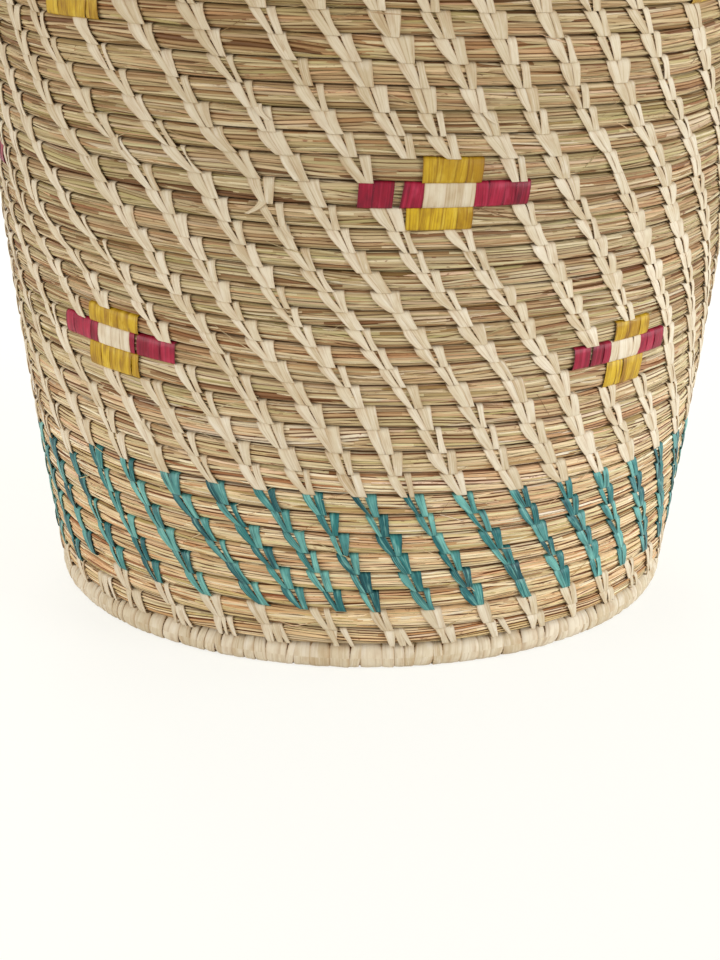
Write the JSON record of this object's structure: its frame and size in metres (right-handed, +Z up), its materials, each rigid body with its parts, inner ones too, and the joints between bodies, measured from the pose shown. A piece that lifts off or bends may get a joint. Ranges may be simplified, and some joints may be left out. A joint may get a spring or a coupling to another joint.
{
  "type": "woven planter",
  "caption": "Round coiled grass basket used as a planter, flared, on a wrapped foot, with a coloured stitched band and small crosses.",
  "frame": {"origin": "on the ground, at the middle of the foot", "axes": "+Z up along the basket's axis, -Y towards the front that the picture shows, +X to the right from the front"},
  "size_m": [0.3346, 0.3346, 0.3278],
  "materials": {
    "straw": "dry grass stalks, matte",
    "palm": "natural palm leaf strips, slight sheen",
    "teal": "dyed palm leaf strips, slight sheen",
    "magenta": "dyed palm leaf strips, slight sheen"
  },
  "bodies": {
    "root": {"floor_coil": "straw", "foot_coil": "palm", "wall_coil_base": "straw", "wall_coil_teal": "teal", "wall_coil_middle": "straw", "wall_coil_upper": "straw", "rim_coil": "palm", "stitch_column_01": "palm", "stitch_column_02": "palm", "stitch_column_03": "palm", "stitch_column_04": "palm", "stitch_column_05": "palm", "stitch_column_06": "palm", "stitch_column_07": "palm", "stitch_column_08": "palm", "stitch_column_09": "palm", "stitch_column_10": "palm", "stitch_column_11": "palm", "stitch_column_12": "palm", "stitch_column_13": "palm", "stitch_column_14": "palm", "stitch_column_15": "palm", "stitch_column_16": "palm", "stitch_column_17": "palm", "stitch_column_18": "palm", "stitch_column_19": "palm", "stitch_column_20": "palm", "stitch_column_21": "palm", "stitch_column_22": "palm", "stitch_column_23": "palm", "stitch_column_24": "palm", "stitch_column_25": "palm", "stitch_column_26": "palm", "stitch_column_27": "palm", "stitch_column_28": "palm", "stitch_column_29": "palm", "stitch_column_30": "palm", "stitch_column_31": "palm", "stitch_column_32": "palm", "stitch_column_33": "palm", "stitch_column_34": "palm", "stitch_column_35": "palm", "stitch_column_36": "palm", "stitch_column_37": "palm", "stitch_column_38": "palm", "stitch_column_39": "palm", "stitch_column_40": "palm", "stitch_column_41": "palm", "cross_low_1": "magenta", "cross_low_2": "magenta", "cross_low_3": "magenta", "cross_low_4": "magenta", "cross_middle_1": "magenta", "cross_middle_2": "magenta", "cross_middle_3": "magenta", "cross_middle_4": "magenta", "cross_high_1": "magenta", "cross_high_2": "magenta", "cross_high_3": "magenta", "cross_high_4": "magenta"}
  },
  "joints": []
}
